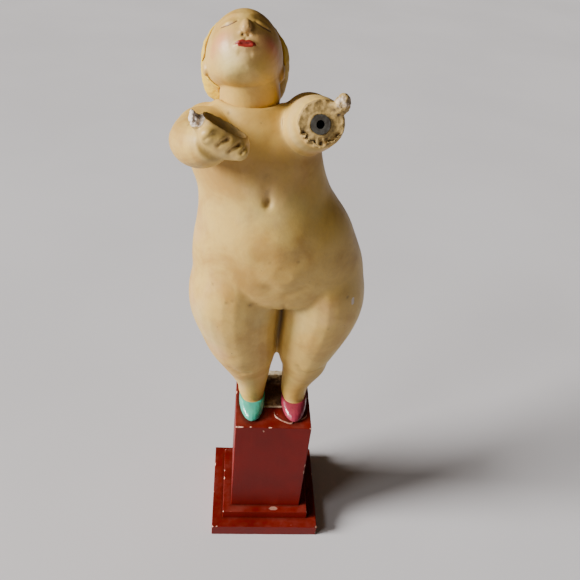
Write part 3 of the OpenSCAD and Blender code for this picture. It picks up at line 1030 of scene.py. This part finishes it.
class STATUETTE_OT_arms(bpy.types.Operator):
    """Build the two arms: the cupped hand, and the broken wrist with its crumbling edge"""
    bl_idname = "statuette.arms"
    bl_label = "Arms"

    def execute(self, context):
        settings = context.scene.statuette_figure
        rough = bpy.data.objects["figure_rough"]
        paint = bpy.data.materials["skin_paint"]
        for node, name, shape, marks in (
                ("right_arm", "right_arm_cast", self.hand, self.hand_marks),
                ("left_arm", "left_arm_cast", self.wrist, self.wrist_marks)):
            piece = twin(rough, name)
            self.trim(piece, node)
            sharp = copy_of(node, "sharp_" + node)
            self.keep(sharp, (0, -26 * MM, 0), FRONT)
            cut(piece, sharp, "UNION")
            remesh(piece, settings.fine_grain, 7)
            clay = Clay(piece)
            shape(clay)
            clay.done()
            cut(piece, arm_cutter(node, settings), "INTERSECT")
            piece = largest_part(piece)
            piece.name = name
            clay = Clay(piece)
            clay.within(*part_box(node))
            clay.done()
            marks(piece, clay)
            finish(piece, paint, "flesh_paint", node, crease=50)
        bpy.data.objects.remove(rough)
        return {"FINISHED"}

    def keep(self, piece, point, side):
        """Keeps the part of a piece that lies on one side of a plane, and closes it."""
        edit(piece)
        bpy.ops.mesh.bisect(plane_co=point, plane_no=side, clear_inner=True, use_fill=True)
        leave_edit()

    def trim(self, piece, node):
        """Cuts the rough figure down to a block round one arm."""
        low, high = (np.array(corner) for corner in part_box(node))
        room = 5 * MM
        self.keep(piece, low - room, UP)
        self.keep(piece, high + room, DOWN)
        self.keep(piece, low - room, RIGHT)
        self.keep(piece, high + room, LEFT)
        self.keep(piece, high + room, FRONT)

    def hand(self, clay):
        palm = np.array(PALM)
        near = np.exp(-(np.linalg.norm(clay.points - (palm + (0.5, -6, -0.5)), axis=1) / 13) ** 6)
        soften(clay, near * np.clip((palm[1] + 1 - clay.points[:, 1]) / 2, 0, 1), 40)
        for start, end, deep in (((-1.5, -10.5, -0.2), (2.8, -8.3, 2.5), 1.3),
                                 ((3.5, -9.7, -3.6), (8.4, -6.6, -0.3), 1.4),
                                 ((9.4, -9.7, -3.2), (11.6, -6.7, -1.5), 1.2),
                                 ((-7.5, -10, 2.0), (-3.5, -8.5, 4.6), 0.5)):
            clay.line([palm + start, palm + end], 1.0, -deep, (0, -0.906, 0.423))
        clay.push(self.thumb(clay) * (0.8 * clay.rough(2.6, 8, 2) - 1.3))

    def thumb(self, clay):
        away = np.linalg.norm(clay.points - (np.array(PALM) + (-12.3, -3.0, 9.5)), axis=1)
        return np.exp(-(away / 5.2) ** 4)

    def hand_marks(self, piece, clay):
        palm = np.array(PALM)
        stub = self.thumb(clay)
        inner = np.linalg.norm((clay.points - (palm + (2.5, 1.0, 8.0))) / (13.5, 8.6, 7.0), axis=1)
        # Painted shade in the hollows and inside the cupped palm.
        mark(piece, "hollow", np.maximum(hollows(clay, 12, 4.0), np.clip(1.5 - inner, 0, 0.9)))
        mark(piece, "bare", np.clip(stub * 1.2, 0, 1))
        mark(piece, "pale", np.clip(stub * 0.8, 0, 1))
        # A brown stain and painted shade inside the cupped palm.
        mark(piece, "smear_and_shade", np.clip(1.7 - inner, 0, 1))

    def mouth(self):
        low, high = box_in_mm("wrist_sleeve")
        return np.array(((low[0] + high[0]) / 2, low[1] + 1.2, high[2] - 4.6))

    def wrist_face(self, clay):
        """How much of each point is on the broken end, and how far it is from the sleeve's axis."""
        axis = np.array((0, -0.93969, 0.34202))
        offset = clay.points - self.mouth()
        ahead = offset @ axis
        aside = np.linalg.norm(offset - np.outer(ahead, axis), axis=1)
        return np.clip((ahead + 4.5) / 2.5, 0, 1), aside

    def knob(self, clay):
        return np.exp(-(np.linalg.norm(clay.points - np.array((13.2, -40.5, 362)), axis=1) / 6.5) ** 4)

    def wrist(self, clay):
        face, aside = self.wrist_face(clay)
        ring = np.clip((aside - 5.0) / 1.5, 0, 1)
        rim = np.clip((aside - 7) / 5, 0, 1)
        low = np.clip((self.mouth()[2] - 1 - clay.points[:, 2]) / 6, 0, 1)
        lumps = 0.4 + (0.35 + low) * (1.3 * np.abs(clay.rough(5.5, 9, 2)) + 0.45 * clay.rough(2.2, 10, 2))
        clay.push(-face * ring * np.clip(lumps + 0.9 * rim * clay.rough(4, 14, 2), 0, 3))
        mouth = self.mouth()
        for x, z, size, depth in ((-7.0, -5.5, 2.0, 2.0), (-3.5, -9.0, 1.7, 2.4), (1.0, -8.2, 1.5, 1.6),
                                  (5.2, -8.0, 2.2, 2.6), (8.6, -4.8, 1.6, 1.8), (-10.4, -8.0, 1.6, 1.6)):
            away = np.linalg.norm((clay.points - mouth - (x, 0, z)) / (size, 6, size), axis=1)
            clay.push(-depth * face * ring * np.exp(-away ** 2))
        clay.push(self.knob(clay) * (0.55 * clay.rough(4.2, 11, 2) - 0.4))

    def wrist_marks(self, piece, clay):
        face = self.wrist_face(clay)[0]
        # Painted shade in the hollows.
        hollow = hollows(clay, 10, 4.0)
        knob = self.knob(clay)
        mark(piece, "hollow", hollow)
        mark(piece, "bare", np.clip(np.maximum(face * 1.15, knob * 1.1), 0, 1))
        mark(piece, "pale", np.clip(knob, 0, 1) * 0.5)
        # Painted shade, near black, in the deepest pits of the broken end.
        mark(piece, "deep_shade", np.clip((hollow - 0.3) * face * 1.8, 0, 0.9))


# ---- head and hair ----

class STATUETTE_OT_head(bpy.types.Operator):
    """Build the head and neck with a plain, calm doll's face"""
    bl_idname = "statuette.head"
    bl_label = "Head"

    def execute(self, context):
        settings = context.scene.statuette_figure
        piece = copy_of("head", "head_cast")
        remesh(piece, settings.fine_grain, 22)
        piece = largest_part(piece)
        piece.name = "head_cast"
        turn = Matrix.Rotation(math.radians(-HEAD_TILT), 3, "X")
        clay = Clay(piece, turn, HEAD_AT)
        self.face(clay)
        self.ears(clay)
        clay.done()
        modify(piece, "SMOOTH", factor=0.4, iterations=2)
        clay = Clay(piece, turn, HEAD_AT)
        clay.push(0.05 * clay.rough(8, 12, 2) - 0.02)
        clay.within(*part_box("head"))
        clay.done()
        self.marks(piece, clay)
        finish(piece, bpy.data.materials["skin_paint"], "flesh_paint", "head")
        return {"FINISHED"}

    def face(self, clay):
        for side in (-1, 1):
            clay.dome((side * 8.2, 0, 3.5), (5.2, 1, 4.2), -0.9, FRONT)
            clay.dome((side * 8.2, 0, 2.6), (3.4, 1, 2.2), 1.5, FRONT)
            clay.line(self.lid(side), 0.55, -0.45, FRONT)
            clay.dome((side * 11.0, 0, -7), (6.5, 1, 6.0), 1.1, FRONT)
            clay.dome((side * 2.3, 0, -5.4), (1.3, 1, 1.2), 0.7, FRONT)
            clay.dome((side * 1.5, 0, -6.9), (0.7, 1, 0.6), -0.7, FRONT)
            clay.line([(side * 2, 0, 6.5), (side * 7.5, 0, 8.6), (side * 13, 0, 7)], 1.8, 0.4, FRONT)
        clay.line([(0, 0, 5), (0, 0, -3)], 2.6, 0.2, FRONT)
        clay.dome((0, 0, -2), (2.6, 1, 5.5), -0.7, FRONT)
        clay.line([(0, 0, -7.6), (0, 0, -9.2)], 0.7, -0.3, FRONT)
        clay.line([(-4.6, 0, -11.0), (-1.4, 0, -9.9), (0, 0, -10.3), (1.4, 0, -9.9), (4.6, 0, -11.0)],
                  1.0, 0.8, FRONT)
        clay.line([(-3.2, 0, -12.0), (0, 0, -12.8), (3.2, 0, -12.0)], 1.2, 0.9, FRONT)
        clay.line([(-5.2, 0, -11.1), (-2, 0, -11.3), (0, 0, -11.5), (2, 0, -11.3), (5.2, 0, -11.1)],
                  0.45, -0.9, FRONT)
        clay.line([(-2.5, 0, -14.9), (2.5, 0, -14.9)], 1.1, -0.4, FRONT)
        clay.dome((0, 0, -17.6), (4, 1, 3), 0.5, FRONT)

    def lid(self, side):
        return [(side * x, 0, z) for x, z in ((4.6, 1.9), (6.4, 0.9), (8.6, 0.6), (10.6, 1.2), (12.2, 2.4))]

    def ears(self, clay):
        for side, toward in ((-1, LEFT), (1, RIGHT)):
            ear = np.exp(-((clay.points[:, 0] - side * 22.3) / 3) ** 4)
            away = clay.line_distance([(0, 1.4, -2.4), (0, 0.6, 1.2)], toward)
            clay.push(-1.5 * np.exp(-(away / 1.0) ** 2) * ear * clay.facing(toward))

    def marks(self, piece, clay):
        # Painted shade in the hollows of the face and ears.
        mark(piece, "hollow", hollows(clay, 10, 3.0))
        front = clay.facing(FRONT)
        upper = clay.line_distance(
            [(-4.3, 0, -11.1), (-1.4, 0, -10.2), (0, 0, -10.5), (1.4, 0, -10.2), (4.3, 0, -11.1)], FRONT)
        lower = clay.line_distance([(-2.9, 0, -11.8), (0, 0, -12.3), (2.9, 0, -11.8)], FRONT)
        lips = np.maximum(1 - upper / 1.7, 1 - lower / 2.1)
        mark(piece, "lips", np.clip(lips, 0, 1) * (front > 0.3))
        lash = np.zeros(len(clay.points))
        for side in (-1, 1):
            lash = np.maximum(lash, 1 - clay.line_distance(self.lid(side), FRONT) / 0.75)
            brow = clay.line_distance(
                [(side * 3.6, 0, 7.6), (side * 8, 0, 9.4), (side * 12.6, 0, 8.0)], FRONT)
            lash = np.maximum(lash, 0.56 - 0.35 * brow)
        mark(piece, "lash", np.clip(lash, 0, 1) * (front > 0.3))
        blush = np.zeros(len(clay.points))
        for side in (-1, 1):
            spot = np.linalg.norm((clay.points - (side * 13.0, -18, -6.5)) / (5.6, 14, 5.0), axis=1)
            blush = np.maximum(blush, np.exp(-spot ** 2))
        mark(piece, "blush", 0.9 * blush * front)
        # Painted shade, near black, in the ear holes.
        deep_shade = np.zeros(len(clay.points))
        for side, toward in ((-1, LEFT), (1, RIGHT)):
            away = clay.line_distance([(0, 1.4, -2.6), (0, 0.6, 1.2)], toward)
            deep_shade = np.maximum(deep_shade, np.exp(-(away / 1.15) ** 4) * clay.facing(toward)
                              * (np.abs(clay.points[:, 0]) > 18.5))
        mark(piece, "deep_shade", np.clip(deep_shade, 0, 0.95))


class STATUETTE_OT_hair(bpy.types.Operator):
    """Build the hair: a combed cap over the crown, and the bob behind the neck"""
    bl_idname = "statuette.hair"
    bl_label = "Hair"

    def execute(self, context):
        settings = context.scene.statuette_figure
        piece = copy_of("hair", "hair_cast")
        remesh(piece, settings.fine_grain, 8)
        piece = largest_part(piece)
        piece.name = "hair_cast"
        turn = Matrix.Rotation(math.radians(-HEAD_TILT), 3, "X")
        clay = Clay(piece, turn, HEAD_AT)
        angle = np.arctan2(clay.points[:, 0], clay.points[:, 1] - 1)
        reach = np.hypot(clay.points[:, 0], clay.points[:, 1] - 1)
        drift = clay.rough(9, 13, 2)
        wave = np.sin(angle * 30 + 2.2 * drift) + 0.6 * np.sin(angle * 71 + 3.1 * drift)
        outer = np.clip((reach - 9) / 8, 0, 1)
        outside = np.einsum("ij,ij->i", clay.normals, clay.points - (0, 0, 2))
        outer = outer * (outside > 0)
        clay.push((0.06 * wave - 0.1) * outer)
        clay.within(*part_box("hair"))
        clay.done()
        # Painted shade in the grooves between the strands and in the hollows.
        mark(piece, "strand", np.clip(-wave * 0.4, 0, 1) * outer)
        mark(piece, "hollow", hollows(clay, 10, 3.0))
        finish(piece, hair_paint(settings), "yellow_paint", "hair")
        return {"FINISHED"}


# ---- fixings and stage ----

class STATUETTE_OT_fixings(bpy.types.Operator):
    """Give the screws, rods, dowels and the wrist sleeve their finishes"""
    bl_idname = "statuette.fixings"
    bl_label = "Fixings"

    def execute(self, context):
        steel = metal("screw_steel_finish", (0.56, 0.55, 0.52), (0.32, 0.24, 0.17), 0.3)
        rod = metal("rod_steel_finish", (0.40, 0.39, 0.38), (0.20, 0.11, 0.06), 0.4)
        sleeve = metal("sleeve_finish", (0.13, 0.125, 0.11), (0.07, 0.06, 0.05), 0.6)
        dowel = dowel_finish()
        finishes = {"plinth_screws": steel, "leg_rods": rod, "wrist_sleeve": sleeve,
                    "right_arm_dowel": dowel, "left_arm_dowel": dowel, "neck_dowel": dowel}
        for node, material in finishes.items():
            for slot in frame["nodes"][node].material_slots:
                slot.material = material
        return {"FINISHED"}


class STATUETTE_OT_stage(bpy.types.Operator):
    """Lay the floor, hang the lights and set the camera"""
    bl_idname = "statuette.stage"
    bl_label = "Stage"

    def execute(self, context):
        settings = context.scene.statuette_stage
        deselect()
        bpy.ops.mesh.primitive_plane_add(size=8, location=(0, 0, 0))
        floor = named("floor")
        edit(floor)
        bpy.ops.mesh.subdivide(number_cuts=8)
        leave_edit()
        floor.data.materials.append(floor_finish(settings))
        self.light("key", "SUN", KEY_AT, settings.key_power, math.radians(22), (1.0, 0.97, 0.92))
        self.light("window", "AREA", WINDOW_AT, settings.key_power * 0.6, 0.35, (1.0, 0.98, 0.95))
        world = bpy.data.worlds.new("studio")
        world.use_nodes = True
        sky = world.node_tree.nodes["Background"]
        sky.inputs["Color"].default_value = (1.0, 0.74, 0.52, 1)
        sky.inputs["Strength"].default_value = settings.fill
        context.scene.world = world
        camera = bpy.data.cameras.new("camera")
        camera.lens = LENS
        camera.sensor_width = 36
        camera.clip_end = 20
        holder = bpy.data.objects.new("camera", camera)
        context.scene.collection.objects.link(holder)
        aim = Euler((math.radians(90 - CAMERA_DOWN), 0, math.radians(-CAMERA_TURN))).to_matrix()
        roll = Matrix.Rotation(math.radians(CAMERA_ROLL), 3, "Z")
        holder.matrix_world = Matrix.Translation(CAMERA_AT) @ (aim @ roll).to_4x4()
        context.scene.camera = holder
        return {"FINISHED"}

    def light(self, name, kind, place, power, size, tint):
        lamp = bpy.data.lights.new(name, kind)
        lamp.energy = power
        lamp.color = tint
        if kind == "SUN":
            lamp.angle = size
        else:
            lamp.size = size
        holder = bpy.data.objects.new(name, lamp)
        bpy.context.scene.collection.objects.link(holder)
        holder.location = place
        holder.rotation_euler = (Vector((0, 0, 0.2)) - Vector(place)).to_track_quat("-Z", "Y").to_euler()


class STATUETTE_PT_panel(bpy.types.Panel):
    """Lists the pieces of the statuette"""
    bl_idname = "STATUETTE_PT_panel"
    bl_label = "Statuette"
    bl_space_type = "VIEW_3D"
    bl_region_type = "UI"
    bl_category = "Statuette"

    def draw(self, context):
        layout = self.layout
        for group, operators in PIECES:
            box = layout.box()
            settings = getattr(context.scene, group)
            for name in settings.bl_rna.properties.keys():
                if name not in ("name", "rna_type"):
                    box.prop(settings, name)
            for operator in operators:
                box.operator(operator.bl_idname)


SETTINGS = {
    "statuette_plinth": PlinthSettings,
    "statuette_shoes": ShoeSettings,
    "statuette_figure": FigureSettings,
    "statuette_stage": StageSettings,
}

PIECES = (
    ("statuette_plinth", (STATUETTE_OT_plinth,)),
    ("statuette_shoes", (STATUETTE_OT_shoes, STATUETTE_OT_foot_bed)),
    ("statuette_figure", (STATUETTE_OT_body, STATUETTE_OT_arms, STATUETTE_OT_head, STATUETTE_OT_hair)),
    ("statuette_stage", (STATUETTE_OT_fixings, STATUETTE_OT_stage)),
)


def register():
    for name, group in SETTINGS.items():
        bpy.utils.register_class(group)
        setattr(bpy.types.Scene, name, PointerProperty(type=group))
    for _, operators in PIECES:
        for operator in operators:
            bpy.utils.register_class(operator)
    bpy.utils.register_class(STATUETTE_PT_panel)


def unregister():
    bpy.utils.unregister_class(STATUETTE_PT_panel)
    for _, operators in reversed(PIECES):
        for operator in reversed(operators):
            bpy.utils.unregister_class(operator)
    for name, group in SETTINGS.items():
        delattr(bpy.types.Scene, name)
        bpy.utils.unregister_class(group)


def main():
    register()
    for _, operators in PIECES:
        for operator in operators:
            section, call = operator.bl_idname.split(".")
            getattr(getattr(bpy.ops, section), call)()


if __name__ == "__main__":
    main()
